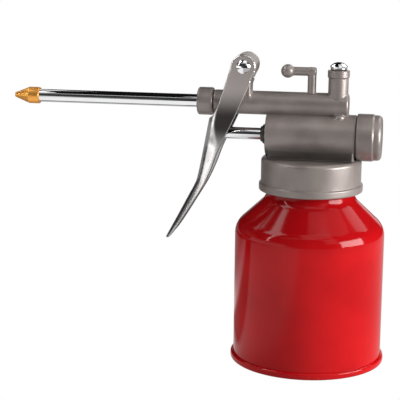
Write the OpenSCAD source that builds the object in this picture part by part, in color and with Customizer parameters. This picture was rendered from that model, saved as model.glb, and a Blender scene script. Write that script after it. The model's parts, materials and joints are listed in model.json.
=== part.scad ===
// Hand-pumped pistol oiler: a red can with a screw-on pump head, a finger
// lever, a shut-off cock and a long rigid spout. Millimetres, +Z up. The
// origin is the centre of the can's standing ring and the spout runs to -X.

/* [Can] */
// Outside radius of the can's straight wall
can_r = 34; // [33.5:0.25:34.5]
// Thickness of the can's sheet as modelled
sheet_t = 0.6; // [0.5:0.1:0.7]
// How far the base seam stands out beyond the wall
seam_out = 1.3; // [1:0.1:1.5]
// Height of the base seam
seam_h = 3.1; // [2.8:0.1:3.4]
// Height at which the shoulder starts to turn in
shoulder_z = 59; // [58:0.5:60]
// Outside radius of the can's neck
neck_r = 20; // [19.8:0.1:20.1]

/* [Pump head] */
// Height of the top face of the collar
collar_top_z = 94.2; // [94:0.1:94.4]
// Outside radius of the collar
collar_r = 22.7; // [22.5:0.1:23]
// Height of the pump's axis
pump_z = 104; // [103.9:0.1:104.1]
// Outside radius of the pump cylinder
pump_r = 9.95; // [9.8:0.05:10.1]
// Radius of the pump's bore
bore_r = 7.5; // [7.4:0.1:7.6]
// Height of the outlet barrel's axis
barrel_z = 118.2; // [118:0.1:118.4]
// Outside radius of the outlet barrel
barrel_r = 5.35; // [5.2:0.05:5.5]

/* [Lever] */
// Distance of the lever's pivot in front of the can's axis
pivot_x = 30.7; // [30.5:0.1:30.9]
// Height of the lever's pivot
pivot_z = 135; // [134.8:0.1:135.2]
// Half of the lever's width over its two side plates
lever_half_w = 8.4; // [8.3:0.1:8.6]
// Thickness of the lever's pressed steel
lever_t = 1.3; // [1.2:0.1:1.4]

/* [Spout] */
// Outside radius of the spout tube
spout_r = 2.95; // [2.9:0.05:3]
// Distance of the nozzle's tip in front of the can's axis
tip_x = 138.3; // [136:0.1:142]

/* [Hidden] */

$fn = 72;
// Clearance of a part that turns or slides in its bore
run = 0.05;

red_paint = [0.74, 0.12, 0.12];
grey_paint = [0.50, 0.46, 0.44];
chrome = [0.80, 0.80, 0.82];
brass = [0.86, 0.62, 0.27];
rubber = [0.12, 0.12, 0.13];
steel = [0.62, 0.63, 0.65];
nylon = [0.88, 0.87, 0.82];

// Can
neck_top_z = 89.6;
shoulder_r = 9;
throat_r = 6;
shoulder_slope = 47;
throat_z = shoulder_z + ((shoulder_r + throat_r) * (1 - cos(shoulder_slope))
    + (can_r - neck_r) * cos(shoulder_slope)) / sin(shoulder_slope);
base_z = 2.2;
base_bead_r = 1.2;
seam_edge_r = 1;
ring_z = 81;
ring_t = 0.6;
gasket_r = neck_r - 2.8;

// Head
rim_r = 23.55;
rim_z0 = 79.2;
rim_z1 = 82.7;
rim_foot = 0.8;
collar_round = 1.8;
ceiling_z = 91.2;
socket_r = neck_r + ring_t + 0.3;
pump_x0 = -20.6;
pump_x1 = 20;
thread_end_x = 25.5;
thread_r = 9.2;
front_wall_x = -16.5;
pedestal_half_x = 19.4;
pedestal_half_y = 8.6;
barrel_x0 = -45;
barrel_x1 = 16.2;
barrel_bore_r = 1.5;
barrel_round = 1.2;
pillar_r = 2.4;
spigot_x0 = -50;
spigot_r = 4.4;
boss_r = 5.5;
boss_half = 6.6;
dome_edge_r = 3.15;
dome_r = 4.35;
pin_r = 2.5;
pin_end_r = 1.6;
post_half_x = 2.95;
post_half_y = 4.8;
tower_x = 11.2;
tower_r = 4.5;
tower_ring_r = 4.9;
tower_top_z = 133.9;
tower_ring_h = 3.3;
plug_thread_r = 2.9;
plug_thread_z = 126;
valve_r = 2.2;
valve_seat_z = 115.3;
port_r = 1;
suction_x = 5;
suction_bush_r = 3;
inlet_r = 1.2;
cock_x = -0.66;
cock_r = 1.92;
cock_foot_z = 114.9;
cock_foot_gap = 0.3;
rod_gap = 0.3;

// Pump internals
rod_r = 2.7;
seal_fit = 0.02;
cup_fit = 0.03;
cup_web = 1.2;
rod_tip_x = -46.3;
gland_r = 4.4;
gland_thread_r = 3.9;
gland_front_x = -23.2;
gland_back_x = -18.6;
gland_hole_x = -17.4;
piston_x0 = -16.2;
piston_x1 = -11.2;
cup_x1 = -8.4;
nut_x1 = -5.4;
nut_hub_r = 3.4;
spring_x0 = cup_x1 - 0.6;
spring_r = 4.6;
spring_wire_r = 0.55;
spring_spigot_r = 3.6;
stud_r = 1.5;
cap_x0 = 20.15;
cap_step_x = 27.8;
cap_x1 = 31.4;
cap_r = 10.65;
cap_fit = 0.05;
cap_relief = 0.15;
cap_end_r = 10.2;
cap_round = 2;
cap_floor_x = 26.7;

// Suction tube
seat_flange_z = 86;
seat_flange_r = 4.5;
seat_tail_z = 79;
tube_top_z = 85;
tube_foot_z = 9;
tube_r = 2.9;
tube_bore_r = 2;
strainer_z = 6;
strainer_r = 3.6;
slot_w = 0.8;
slot_h = 1.2;

// Valve balls
ball_r = 1.6;
suction_seat_z = 89;
suction_ball_z = suction_seat_z - port_r + (ball_r + run) * sqrt(2);
delivery_ball_z = valve_seat_z + sqrt(ball_r * ball_r - port_r * port_r) + run;
delivery_spring_z = delivery_ball_z + 1.05;
plug_foot_z = plug_thread_z + 0.2;
washer_t = 0.7;
washer_r = 3.5;

// Spout
nozzle_x0 = -126.5;
nozzle_r = 3.8;
nozzle_cone_x = -131.4;
tube_end_x = -131.2;
tube_root_x = -43;
tube_wall = 0.85;
nut_front_x = -52.1;
nut_r = 6.3;
nut_front_round = 1;
nut_rear_round = 0.8;
olive_r = 4;
olive_l = 0.75;
orifice_r = 0.6;

// Cock handle
arm_z = 132.9;
arm_r = 1.95;
ball_x = -11.55;
knob_r = 3.07;
cock_port_r = 1.1;
groove_z = 121.6;
o_ring_r = 0.27;

// Points of an arc about [cx, cy], from angle a0 to a1
function arc(cx, cy, r, a0, a1, n = 8) =
    [for (i = [0:n]) let (a = a0 + (a1 - a0) * i / n) [cx + r * cos(a), cy + r * sin(a)]];

// A solid turned about the X axis at height z, from a profile of [radius, x]
module turned_x(z, profile) {
    translate([0, 0, z]) rotate([0, 90, 0]) rotate_extrude() polygon(profile);
}

// A cylinder along X
module rod_x(x0, x1, r, z) {
    translate([x0, 0, z]) rotate([0, 90, 0]) cylinder(r = r, h = x1 - x0);
}

// A cylinder along Y at [x, z]
module rod_y(y0, y1, r, x, z) {
    translate([x, y0, z]) rotate([-90, 0, 0]) cylinder(r = r, h = y1 - y0);
}

// A cylinder along Z at [x, 0]
module rod_z(z0, z1, r, x = 0) {
    translate([x, 0, z0]) cylinder(r = r, h = z1 - z0);
}

// A ring along X
module ring_x(x0, x1, r_out, r_in, z) {
    difference() {
        rod_x(x0, x1, r_out, z);
        rod_x(x0 - 1, x1 + 1, r_in, z);
    }
}

// A round-wire compression spring of mean radius r about Z, from z = 0 to h
module coil_spring(r, wire_r, h, turns, steps = 20, sides = 6) {
    rings = turns * steps;
    rise = h - 2 * wire_r;
    points = [for (i = [0:rings]) let (a = 360 * i / steps)
        for (j = [0:sides - 1]) let (b = 360 * j / sides, q = r + wire_r * cos(b))
            [q * cos(a), q * sin(a), wire_r * (1 + sin(b)) + rise * i / rings]];
    sides_faces = [for (i = [0:rings - 1]) for (j = [0:sides - 1])
        let (k = (j + 1) % sides)
            [i * sides + j, (i + 1) * sides + j, (i + 1) * sides + k, i * sides + k]];
    first = [for (j = [0:sides - 1]) j];
    last = [for (j = [sides - 1:-1:0]) rings * sides + j];
    polyhedron(points, concat([first], sides_faces, [last]), convexity = 10);
}

// ---- Can ----

// Outline of the shoulder and neck at a distance t inside the outer skin
function can_outline(t) = concat(
    arc(can_r - shoulder_r, shoulder_z, shoulder_r - t, 0, shoulder_slope, 10),
    arc(neck_r + throat_r, throat_z, throat_r + t, 180 + shoulder_slope, 180, 8),
    [[neck_r - t, neck_top_z]]
);

function reversed(v) = [for (i = [len(v) - 1:-1:0]) v[i]];

module can_shell() {
    color(red_paint) rotate_extrude($fn = 96) polygon(concat(
        [[can_r - sheet_t, sheet_t], [can_r, sheet_t]],
        can_outline(0),
        reversed(can_outline(sheet_t))
    ));
}

// The base disc with its rolled seam, which holds the foot of the shell
module can_base() {
    outer = can_r + seam_out;
    inner = can_r - sheet_t - 1;
    shell_in_r = can_r - sheet_t;
    color(red_paint) difference() {
        rotate_extrude($fn = 96) polygon(concat(
            [[0, base_z], [inner, base_z], [inner, 0.5], [inner + 0.5, 0]],
            arc(outer - base_bead_r, base_bead_r, base_bead_r, -90, 0, 5),
            arc(outer - seam_edge_r, seam_h - seam_edge_r, seam_edge_r, 0, 90, 5),
            [[shell_in_r - 0.3, seam_h], [shell_in_r - 0.5, base_z + sheet_t]],
            [[0, base_z + sheet_t]]
        ));
        difference() {
            rod_z(sheet_t, seam_h + 1, can_r);
            rod_z(0, seam_h + 2, shell_in_r);
        }
    }
}

module neck_ring() {
    color(steel) difference() {
        rod_z(ring_z, neck_top_z - 1, neck_r + ring_t);
        rod_z(ring_z - 1, neck_top_z, neck_r);
    }
}

module neck_gasket() {
    color(rubber) difference() {
        rod_z(neck_top_z, ceiling_z - run, neck_r + ring_t);
        rod_z(neck_top_z - 1, ceiling_z + 1, gasket_r);
    }
}

// ---- Pump head casting ----

module collar() {
    rotate_extrude($fn = 96) polygon(concat(
        [[0, ceiling_z - 1], [0, collar_top_z]],
        reversed(arc(collar_r - collar_round, collar_top_z - collar_round, collar_round, 0, 90, 6)),
        [[collar_r, rim_z1], [rim_r - 0.5, rim_z1]],
        [[rim_r, rim_z1 - 0.5], [rim_r, rim_z0 + rim_foot], [rim_r - rim_foot, rim_z0]],
        [[socket_r, rim_z0], [socket_r, ceiling_z - 1]]
    ));
}

module pivot_boss() {
    rod_y(-boss_half, boss_half, boss_r, -pivot_x, pivot_z);
    translate([-pivot_x - post_half_x, -post_half_y, barrel_z])
        cube([2 * post_half_x, 2 * post_half_y, pivot_z - barrel_z]);
}

module head_solid() {
    collar();
    // The pedestal that carries the pump cylinder
    translate([-pedestal_half_x, -pedestal_half_y, collar_top_z - 1])
        cube([2 * pedestal_half_x, 2 * pedestal_half_y, pump_z - collar_top_z - 2]);
    turned_x(pump_z, concat(
        [[0, pump_x0], [pump_r - 0.6, pump_x0], [pump_r, pump_x0 + 0.6]],
        [[pump_r, pump_x1], [thread_r, pump_x1], [thread_r, thread_end_x], [0, thread_end_x]]
    ));
    turned_x(barrel_z, concat(
        [[0, spigot_x0], [spigot_r, spigot_x0], [spigot_r, barrel_x0], [barrel_r, barrel_x0]],
        arc(barrel_r - barrel_round, barrel_x1 - barrel_round, barrel_round, 0, 90, 5),
        [[0, barrel_x1]]
    ));
    pivot_boss();
    // The valve tower and its top ring
    rod_z(barrel_z, tower_top_z - 0.5, tower_r, tower_x);
    rod_z(tower_top_z - tower_ring_h, tower_top_z, tower_ring_r, tower_x);
    // The short delivery port between the cylinder and the barrel
    rod_z(pump_z + bore_r + 1, barrel_z, pillar_r, tower_x);
}

module pump_head() {
    color(grey_paint) difference() {
        head_solid();
        rod_z(rim_z0 - 1, ceiling_z, socket_r);
        rod_x(front_wall_x, thread_end_x + 1, bore_r, pump_z);
        rod_x(pump_x0 - 1, gland_hole_x, gland_thread_r, pump_z);
        rod_x(pump_x0, front_wall_x + 1, rod_r + rod_gap, pump_z);
        rod_x(spigot_x0 - 1, tube_root_x, spout_r, barrel_z);
        rod_x(tube_root_x - 1, tower_x, barrel_bore_r, barrel_z);
        rod_y(-boss_half - 1, boss_half + 1, pin_r + run, -pivot_x, pivot_z);
        rod_z(plug_thread_z, tower_top_z + 1, plug_thread_r, tower_x);
        rod_z(valve_seat_z, plug_thread_z + 1, valve_r, tower_x);
        rod_z(pump_z + bore_r - 1, valve_seat_z + 1, port_r, tower_x);
        rod_z(ceiling_z - 1, collar_top_z, suction_bush_r, suction_x);
        rod_z(collar_top_z - 1, pump_z - bore_r + 1, inlet_r, suction_x);
        rod_z(cock_foot_z - cock_foot_gap, barrel_z + barrel_r + 1, cock_r + run, cock_x);
        // Room for the cap in the edge of the collar
        ring_x(cap_x0 - 0.1, collar_r + 1, cap_r + cap_relief, thread_r + 0.3, pump_z);
    }
}

module rear_cap() {
    color(grey_paint) difference() {
        turned_x(pump_z, concat(
            [[0, cap_x0], [cap_r - 0.5, cap_x0], [cap_r, cap_x0 + 0.5]],
            [[cap_r, cap_step_x - 0.3], [cap_end_r, cap_step_x]],
            arc(cap_end_r - cap_round, cap_x1 - cap_round, cap_round, 0, 90, 6),
            [[0, cap_x1]]
        ));
        rod_x(cap_x0 - 1, cap_floor_x, thread_r + cap_fit, pump_z);
    }
    // The spigot that centres the return spring
    color(grey_paint) rod_x(cap_floor_x - 2, cap_floor_x + 1, spring_spigot_r, pump_z);
}

module cap_gasket() {
    color(rubber) ring_x(thread_end_x, cap_floor_x, thread_r - 0.2, bore_r, pump_z);
}

module rod_gland() {
    color(rubber) difference() {
        turned_x(pump_z, [
            [0, gland_front_x], [gland_r - 0.6, gland_front_x], [gland_r, gland_front_x + 0.6],
            [gland_r, pump_x0], [gland_thread_r, pump_x0], [gland_thread_r, gland_back_x],
            [0, gland_back_x]
        ]);
        rod_x(gland_front_x - 1, gland_back_x + 1, rod_r + run, pump_z);
    }
}

module gland_seal() {
    color(rubber) ring_x(gland_back_x, gland_hole_x, gland_thread_r, rod_r + seal_fit, pump_z);
}

// ---- Piston and its return spring ----

module piston_rod() {
    color(chrome) turned_x(pump_z, concat(
        [[0, rod_tip_x]],
        arc(0, rod_tip_x + rod_r, rod_r, -75, 0, 6),
        [[rod_r, piston_x0], [stud_r, piston_x0], [stud_r, nut_x1 - 0.4], [0, nut_x1 - 0.4]]
    ));
}

module piston() {
    color(brass) ring_x(piston_x0, piston_x1, bore_r - run, stud_r, pump_z);
}

// The rubber cup, with its lip towards the oil
module piston_cup() {
    color(rubber) difference() {
        rod_x(piston_x1, cup_x1, bore_r - cup_fit, pump_z);
        rod_x(piston_x1 - 1, cup_x1 + 1, stud_r, pump_z);
        turned_x(pump_z, [[0, piston_x1 + cup_web], [bore_r - 1.6, piston_x1 + cup_web],
            [bore_r - 0.9, cup_x1 + 0.1], [0, cup_x1 + 0.1]]);
    }
}

// The flanged nut that holds the cup and carries the spring
module piston_nut() {
    color(steel) difference() {
        union() {
            rod_x(piston_x1 + cup_web, spring_x0, bore_r - 1.75, pump_z);
            rod_x(spring_x0 - 0.4, nut_x1, nut_hub_r, pump_z);
        }
        rod_x(piston_x1, nut_x1 + 1, stud_r, pump_z);
    }
}

module return_spring() {
    color(steel) translate([spring_x0, 0, pump_z]) rotate([0, 90, 0])
        coil_spring(spring_r, spring_wire_r, cap_floor_x - spring_x0, 9);
}

// ---- Suction side ----

module suction_seat() {
    color(brass) difference() {
        union() {
            rod_z(seat_flange_z, ceiling_z, seat_flange_r, suction_x);
            rod_z(tube_top_z, collar_top_z, suction_bush_r, suction_x);
            rod_z(seat_tail_z, tube_top_z, tube_bore_r, suction_x);
        }
        rod_z(seat_tail_z - 1, suction_seat_z, port_r, suction_x);
        translate([suction_x, 0, suction_seat_z])
            cylinder(r1 = port_r, r2 = tube_bore_r, h = 1);
        rod_z(suction_seat_z + 0.9, collar_top_z + 1, tube_bore_r, suction_x);
    }
}

module suction_ball() {
    color(steel) translate([suction_x, 0, suction_ball_z]) sphere(r = ball_r);
}

module pickup_tube() {
    color(nylon) difference() {
        rod_z(tube_foot_z, tube_top_z, tube_r, suction_x);
        rod_z(tube_foot_z - 1, tube_top_z + 1, tube_bore_r, suction_x);
    }
}

// A cup strainer pushed on to the foot of the pickup tube, with cross slots
module pickup_strainer() {
    color(brass) difference() {
        rod_z(strainer_z, tube_foot_z + 6, strainer_r, suction_x);
        rod_z(tube_foot_z, tube_foot_z + 7, tube_r, suction_x);
        rod_z(strainer_z + 1, tube_foot_z + 1, strainer_r - 1.4, suction_x);
        for (a = [0, 60, 120])
            translate([suction_x, 0, tube_foot_z - 1]) rotate([0, 0, a])
                cube([3 * strainer_r, slot_w, slot_h], center = true);
    }
}

// ---- Delivery side ----

module delivery_ball() {
    color(steel) translate([tower_x, 0, delivery_ball_z]) sphere(r = ball_r);
}

module delivery_spring() {
    color(steel) translate([tower_x, 0, delivery_spring_z])
        coil_spring(1.45, 0.2, plug_foot_z - delivery_spring_z, 6, 14, 5);
}

module valve_plug() {
    z = tower_top_z + washer_t;
    color(chrome) {
        translate([tower_x, 0, 0]) rotate_extrude() polygon(concat(
            [[0, z], [3.3, z]],
            arc(3.6, z + 0.6, 0.5, -60, 0, 3),
            arc(0, z - 2.05, 5.05, 36, 90, 8)
        ));
        rod_z(plug_foot_z, z + 0.2, plug_thread_r, tower_x);
    }
}

module plug_washer() {
    color(rubber) difference() {
        rod_z(tower_top_z, tower_top_z + washer_t, washer_r, tower_x);
        rod_z(tower_top_z - 1, tower_top_z + 2, plug_thread_r, tower_x);
    }
}

// ---- Lever ----

// Foremost line of the rounded web, as [height, x]
lever_front = [
    [54, -66.8], [64.4, -61.3], [75, -55.8], [79, -53.7], [81.8, -52.5], [84.5, -51.8],
    [96.4, -49.5], [110.4, -46.9], [142, -41]
];
// Line of the two rear edges of the sheet, as [height, x]
lever_rear = [
    [54, -65.4], [57, -62.6], [63.7, -58.1], [70.5, -54], [78.2, -49.4], [81.5, -47.6],
    [87.6, -44.9], [97.9, -41], [102.8, -38.6], [114.1, -33.4], [142, -21.5]
];
// Half width over the sheet, as [height, half width]
lever_half = [
    [54, 2.2], [54.6, 3.9], [55.6, 5], [57.5, 6], [60.5, 6.7], [66, 7.1], [74, 7.4],
    [82, 7.9], [92, lever_half_w], [142, lever_half_w]
];
// Depth of the rounded part of the section, as [height, depth]
lever_round = [[54, 1.3], [60, 2.6], [80, 4.4], [96, 6.2], [142, 6.5]];

function lever_section(z, m = 7) =
    let (front = lookup(z, lever_front), rear = lookup(z, lever_rear),
         w = lookup(z, lever_half), depth = min(lookup(z, lever_round), rear - front - 0.05),
         t = min(lever_t * 1.06, 0.92 * (rear - front)))
    concat(
        [[rear, -w, z]],
        [for (j = [-m:m]) let (a = 90 * j / m)
            [front + depth * (1 - cos(a)), w * sin(a), z]],
        [[rear, w, z], [rear, w - lever_t, z]],
        [for (j = [m:-1:-m]) let (a = 90 * j / m)
            [front + t + max(depth - t, 0.02) * (1 - cos(a)), (w - lever_t) * sin(a), z]],
        [[rear, -w + lever_t, z]]
    );

// The pressed channel before its fork is trimmed
module lever_channel() {
    heights = [54, 54.6, 55.6, 57.5, 60.5, 64.4, 69, 75, 78.2, 80, 81.8, 84.5, 90, 97,
        104, 110.4, 114, 118, 126, 142];
    rings = [for (z = heights) lever_section(z)];
    n = len(rings[0]);
    last = len(heights) - 1;
    sides = [for (i = [0:last - 1]) for (j = [0:n - 1]) let (k = (j + 1) % n)
        each [[i * n + j, (i + 1) * n + j, (i + 1) * n + k],
              [i * n + j, (i + 1) * n + k, i * n + k]]];
    half = n / 2;
    // Each end is closed by quads from the outer to the inner skin
    foot = [for (j = [0:half - 2]) [j, j + 1, n - 2 - j, n - 1 - j]];
    head = [for (j = [0:half - 2])
        [last * n + n - 1 - j, last * n + n - 2 - j, last * n + j + 1, last * n + j]];
    polyhedron([for (r = rings) each r], concat(foot, sides, head), convexity = 10);
}

// Side outline: the rounded fork ends and the slot that clears the barrel
module lever_outline() {
    translate([-pivot_x, pivot_z]) circle(r = 5.4);
    polygon([
        [-pivot_x - 5.11, pivot_z + 1.73], [-41.1, 119.75], [-42.6, 116], [-44.3, 112.4],
        [-47.6, 110.1], [-75, 110.1], [-75, 50], [-20, 50], [-20, 100], [-27.5, 128.8],
        [-pivot_x + 4.97, pivot_z - 2.11]
    ]);
}

module lever() {
    color(chrome) difference() {
        intersection() {
            lever_channel();
            translate([0, 15, 0]) rotate([90, 0, 0]) linear_extrude(30) lever_outline();
        }
        rod_y(-12, 12, pin_r, -pivot_x, pivot_z);
    }
}

// A domed head about Y, standing out to -Y from y
module rivet_dome(y) {
    translate([-pivot_x, y, pivot_z]) rotate([90, 0, 0]) rotate_extrude() polygon(concat(
        [[0, 0], [dome_edge_r, 0]],
        arc(0, -2.95, dome_r, 44, 90, 7)
    ));
}

// The shank turns in the boss; its reduced end is peened into the rivet cap
module pivot_rivet() {
    color(chrome) {
        rod_y(-lever_half_w - 0.2, lever_half_w, pin_r, -pivot_x, pivot_z);
        rod_y(0, lever_half_w + 0.8, pin_end_r, -pivot_x, pivot_z);
        rivet_dome(-lever_half_w);
    }
}

module rivet_cap() {
    color(chrome) difference() {
        mirror([0, 1, 0]) rivet_dome(-lever_half_w);
        rod_y(0, lever_half_w + 0.8, pin_end_r, -pivot_x, pivot_z);
    }
}

// ---- Cock ----

module cock_handle() {
    color(grey_paint) difference() {
        union() {
            rod_z(cock_foot_z, arm_z, cock_r, cock_x);
            translate([cock_x, 0, arm_z]) sphere(r = arm_r);
            rod_x(ball_x, cock_x, arm_r, arm_z);
            translate([ball_x, 0, arm_z]) sphere(r = knob_r);
        }
        rod_x(cock_x - 4, cock_x + 4, cock_port_r, barrel_z);
        // The groove for the O-ring
        translate([cock_x, 0, groove_z]) rotate_extrude()
            translate([cock_r, 0]) square([1.2, 1], center = true);
    }
}

module cock_o_ring() {
    color(rubber) translate([cock_x, 0, groove_z]) rotate_extrude()
        translate([cock_r - o_ring_r, 0]) circle(r = o_ring_r, $fn = 24);
}

// ---- Spout ----

module spout_nut() {
    color(grey_paint) difference() {
        turned_x(barrel_z, concat(
            [[0, nut_front_x]],
            arc(nut_r - nut_front_round, nut_front_x + nut_front_round, nut_front_round, -90, 0, 5),
            arc(nut_r - nut_rear_round, barrel_x0 - nut_rear_round, nut_rear_round, 0, 90, 5),
            [[0, barrel_x0]]
        ));
        rod_x(nut_front_x - 1, barrel_x0 + 1, spout_r + run, barrel_z);
        rod_x(spigot_x0 - 0.8, barrel_x0 + 1, spigot_r, barrel_z);
    }
}

module spout_olive() {
    color(brass) ring_x(spigot_x0 - olive_l, spigot_x0, olive_r, spout_r, barrel_z);
}

module spout_tube() {
    color(chrome) ring_x(tube_end_x, tube_root_x, spout_r, spout_r - tube_wall, barrel_z);
}

module nozzle() {
    color(brass) difference() {
        turned_x(barrel_z, [
            [0, -tip_x], [0.9, -tip_x], [1.15, -tip_x + 0.3], [nozzle_r, nozzle_cone_x],
            [nozzle_r, nozzle_x0 - 0.2], [nozzle_r - 0.2, nozzle_x0], [0, nozzle_x0]
        ]);
        rod_x(tube_end_x, nozzle_x0 + 1, spout_r, barrel_z);
        rod_x(-tip_x - 1, tube_end_x + 1, orifice_r, barrel_z);
    }
}

can_shell();
can_base();
neck_ring();
neck_gasket();
pump_head();
rear_cap();
cap_gasket();
rod_gland();
gland_seal();
piston_rod();
piston();
piston_cup();
piston_nut();
return_spring();
suction_seat();
suction_ball();
pickup_tube();
pickup_strainer();
delivery_ball();
delivery_spring();
valve_plug();
plug_washer();
lever();
pivot_rivet();
rivet_cap();
cock_handle();
cock_o_ring();
spout_nut();
spout_olive();
spout_tube();
nozzle();
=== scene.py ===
import json
import math

import bpy
import numpy as np
from mathutils import Matrix, Vector

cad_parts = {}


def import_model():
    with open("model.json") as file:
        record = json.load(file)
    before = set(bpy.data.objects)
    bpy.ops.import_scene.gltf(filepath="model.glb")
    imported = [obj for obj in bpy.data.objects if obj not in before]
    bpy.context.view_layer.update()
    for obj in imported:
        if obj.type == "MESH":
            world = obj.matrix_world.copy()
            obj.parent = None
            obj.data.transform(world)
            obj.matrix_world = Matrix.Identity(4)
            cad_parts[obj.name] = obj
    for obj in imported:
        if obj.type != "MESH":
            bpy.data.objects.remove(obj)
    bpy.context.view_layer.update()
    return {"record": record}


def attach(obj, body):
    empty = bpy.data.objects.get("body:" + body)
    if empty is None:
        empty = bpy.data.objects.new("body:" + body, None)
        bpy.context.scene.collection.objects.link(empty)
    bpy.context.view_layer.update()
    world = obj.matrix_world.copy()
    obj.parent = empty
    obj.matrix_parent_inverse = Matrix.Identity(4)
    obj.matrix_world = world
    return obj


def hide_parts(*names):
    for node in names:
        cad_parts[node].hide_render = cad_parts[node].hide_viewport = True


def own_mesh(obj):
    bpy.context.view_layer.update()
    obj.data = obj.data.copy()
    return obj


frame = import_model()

# Hand-pumped pistol oiler. Lengths in the functions are millimetres, in the
# frame of the CAD model: +Z up, the spout to -X. Meshes are stored in metres.
MM = 0.001

# ---- Driving dimensions ----

CAN_R = 34.0
SHEET = 0.6
SEAM_OUT = 1.3
SEAM_H = 3.1
SHOULDER_Z = 59.0
SHOULDER_R = 9.0
THROAT_R = 6.0
SLOPE = math.radians(47)
NECK_R = 20.0
NECK_TOP = 89.6
RING_T = 0.6
BASE_Z = 2.2

COLLAR_R = 22.7
COLLAR_TOP = 94.2
RIM_R = 23.55
RIM_Z = (79.2, 82.7)
CEILING_Z = 91.2
SOCKET_R = 20.9
PUMP_Z = 104.0
PUMP_R = 9.95
PUMP_X = (-20.6, 20.0)
THREAD_R = 9.2
THREAD_END = 25.5
CAP_R = 10.65
CAP_FLOOR = 26.7
BORE_R = 7.5
BORE_FRONT = -16.5
BARREL_Z = 118.2
BARREL_R = 5.35
BARREL_X = (-45.0, 16.2)
SPIGOT_X = -50.0
SPIGOT_R = 4.4
PIVOT = (-30.7, 135.0)
BOSS_R = 5.5
BOSS_HALF = 6.6
PIN_R = 2.5
TOWER_X = 11.2
TOWER_TOP = 133.9
TOWER_R = 4.5
TOWER_RING_R = 4.9
TOWER_BORE = 2.2
PLUG_R = 2.9
PLUG_Z = 126.0
VALVE_SEAT = 115.3
SUCTION_X = 5.0
SUCTION_SEAT = 89.0
PICKUP_R = 2.9
PICKUP_BORE = 2.0
PICKUP_Z = (9.0, 84.98)
COCK_X = -0.66
COCK_R = 1.92
COCK_FOOT = 114.9
ARM_Z = 132.9
ARM_R = 1.95
KNOB_X = -11.55
KNOB_R = 3.07
GROOVE_Z = 121.6

ROD_R = 2.7
ROD_TIP = -46.3
ROD_END_R = 1.48
ROD_END_BORE = 1.5
GLAND_R = 3.9
GLAND_BACK = -18.6
SEAL_BACK = -17.4
PISTON_X = (-16.2, -11.2)
CUP_END = -8.4
NUT_END = -5.4
SPRING_X = (CUP_END - 0.6, CAP_FLOOR)
BALL_R = 1.6
RUN = 0.05
DELIVERY_BALL_Z = VALVE_SEAT + math.sqrt(BALL_R ** 2 - 1) + RUN

SPOUT_R = 2.95
SPOUT_WALL = 0.85
SPOUT_X = (-131.2, -43.0)
TIP_X = -138.3
NOZZLE_R = 3.8
NUT_X = (-52.1, -45.0)
NUT_R = 6.3

LEVER_T = 1.3
LEVER_HALF = 8.4
LEVER_FOOT = 53.95
LEVER_EYE_R = 5.4
# Cosine of the lever's lean, which makes a width along x a true thickness
LEVER_LEAN = 0.87
# Foremost line of the lever's rounded web, as (height, x)
LEVER_FRONT = [
    (54, -66.8), (64.4, -61.3), (75, -55.8), (79, -53.7), (81.8, -52.5), (84.5, -51.8),
    (96.4, -49.5), (110.4, -46.9), (142, -41),
]
# Line of the two rear edges of its sheet, as (height, x)
LEVER_REAR = [
    (54, -65.4), (57, -62.6), (63.7, -58.1), (70.5, -54), (78.2, -49.4), (81.5, -47.6),
    (87.6, -44.9), (97.9, -41), (102.8, -38.6), (114.1, -33.4), (142, -21.5),
]
# Its half width, as (height, half width)
LEVER_WIDTH = [
    (54, 2.2), (54.6, 3.9), (55.6, 5), (57.5, 6), (60.5, 6.7), (66, 7.1), (74, 7.4),
    (82, 7.9), (92, LEVER_HALF), (142, LEVER_HALF),
]
# Depth of the rounded part of its section, as (height, depth)
LEVER_DEPTH = [
    (54, 1.3), (60, 2.6), (75, 4.4), (90, 6.6), (98, 7.9), (104, 5.9), (110, 4.4), (142, 4.3),
]
# Side outline of the slot that clears the barrel and the nut, as (x, z)
LEVER_OUTLINE = [
    (-35.81, 136.73), (-41.1, 119.75), (-42.6, 116), (-44.3, 112.4), (-47.6, 110.1),
    (-80, 110.1), (-80, 40), (-15, 40), (-15, 100), (-27.5, 128.8), (-25.73, 132.89),
]

BODY_OF = {
    node: body
    for body, members in frame["record"]["behaviour"]["bodies"].items()
    for node in members
}


# ---- Shader building ----

class Value:
    """A node's output in a Shader, with arithmetic that adds Math nodes."""

    def __init__(self, shader, socket):
        self.shader = shader
        self.socket = socket

    def math(self, operation, *others):
        inputs = dict(enumerate((self,) + others))
        return self.shader.node("ShaderNodeMath", {"operation": operation}, inputs)

    def output(self, name):
        return Value(self.shader, self.socket.node.outputs[name])

    def __add__(self, other):
        return self.math("ADD", other)

    __radd__ = __add__

    def __mul__(self, other):
        return self.math("MULTIPLY", other)

    __rmul__ = __mul__

    def __sub__(self, other):
        return self.math("SUBTRACT", other)

    def __rsub__(self, other):
        return (self * -1.0).math("ADD", other)

    def __truediv__(self, other):
        return self.math("DIVIDE", other)

    def __pow__(self, other):
        return self.math("POWER", other)

    def clamped(self):
        return self.shader.node("ShaderNodeClamp", {}, {0: self})

    def band(self, low, high):
        """0 below low, 1 above high, smooth between them."""
        settings = {"interpolation_type": "SMOOTHSTEP"}
        return self.shader.node("ShaderNodeMapRange", settings, {0: self, 1: low, 2: high})


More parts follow.
